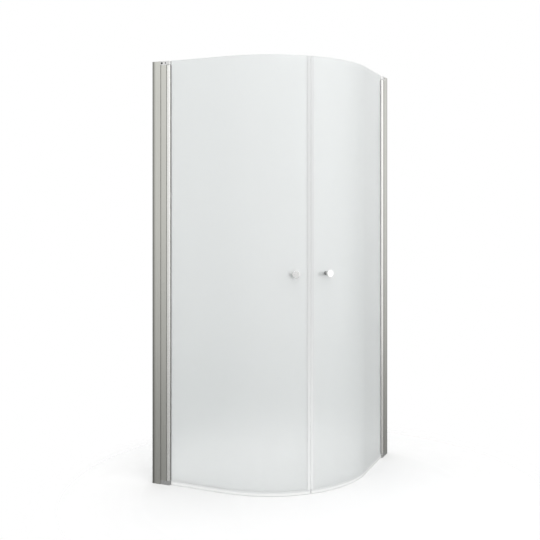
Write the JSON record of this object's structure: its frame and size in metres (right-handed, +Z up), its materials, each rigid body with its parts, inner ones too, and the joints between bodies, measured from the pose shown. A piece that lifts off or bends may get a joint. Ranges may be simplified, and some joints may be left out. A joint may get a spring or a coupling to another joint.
{
  "type": "quadrant shower enclosure",
  "caption": "Corner shower enclosure with curved frosted glass doors, each hinged to an aluminium wall profile and closing on a magnetic seam.",
  "frame": {"origin": "on the floor, in the middle of the square plan", "axes": "+Z up; +X from the side wall, where the left profile is fixed, to the right; +Y towards the back wall, where the right profile is fixed"},
  "size_m": [0.9, 0.9, 2],
  "materials": {
    "anodised_aluminium": "satin anodised",
    "polished_aluminium": "bright anodised",
    "plated_zinc": "satin plated",
    "grey_plastic": "matt",
    "black_rubber": "matt",
    "screw_steel": "plain",
    "black_screw": "black oxide",
    "pin_steel": "ground",
    "white_acetal": "moulded",
    "frosted_glass": "satin etched",
    "clear_seal": "translucent",
    "magnet_core": "matt",
    "chrome_knob": "polished",
    "clear_washer": "clear"
  },
  "bodies": {
    "wall_frames": {"left_wall_profile": "anodised_aluminium", "left_channel_plug": "grey_plastic", "left_jamb_profile": "anodised_aluminium", "left_jamb_wiper": "black_rubber", "left_jamb_lock_screws": "screw_steel", "left_top_pivot_block": "plated_zinc", "left_bottom_pivot_block": "plated_zinc", "left_clamp_screw": "black_screw", "left_grub_screw": "black_screw", "left_top_pivot_pin": "pin_steel", "left_bottom_pivot_pin": "pin_steel", "right_wall_profile": "anodised_aluminium", "right_channel_plug": "grey_plastic", "right_jamb_profile": "anodised_aluminium", "right_jamb_wiper": "black_rubber", "right_jamb_lock_screws": "screw_steel", "right_top_pivot_block": "plated_zinc", "right_bottom_pivot_block": "plated_zinc", "right_clamp_screw": "black_screw", "right_grub_screw": "black_screw", "right_top_pivot_pin": "pin_steel", "right_bottom_pivot_pin": "pin_steel"},
    "left_door": {"left_hinge_profile": "polished_aluminium", "left_top_pivot_bush": "white_acetal", "left_bottom_pivot_bush": "white_acetal", "left_glazing_gasket": "black_rubber", "left_glass_panel": "frosted_glass", "left_bottom_seal": "clear_seal", "left_magnet_seal": "clear_seal", "left_magnet_strip": "magnet_core", "left_outer_knob": "chrome_knob", "left_inner_knob": "chrome_knob", "left_knob_stud": "pin_steel", "left_knob_washers": "clear_washer"},
    "right_door": {"right_hinge_profile": "polished_aluminium", "right_top_pivot_bush": "white_acetal", "right_bottom_pivot_bush": "white_acetal", "right_glazing_gasket": "black_rubber", "right_glass_panel": "frosted_glass", "right_bottom_seal": "clear_seal", "right_magnet_seal": "clear_seal", "right_magnet_strip": "magnet_core", "right_outer_knob": "chrome_knob", "right_inner_knob": "chrome_knob", "right_knob_stud": "pin_steel", "right_knob_washers": "clear_washer"}
  },
  "joints": [
    {"name": "left_hinge", "type": "hinge", "parent": "wall_frames", "child": "left_door", "pos_m": [-0.3665, -0.4385, 0], "axis": [0, 0, 1], "range_deg": [-90, 80]},
    {"name": "right_hinge", "type": "hinge", "parent": "wall_frames", "child": "right_door", "pos_m": [0.4385, 0.3665, 0], "axis": [0, 0, 1], "range_deg": [-80, 90]}
  ]
}
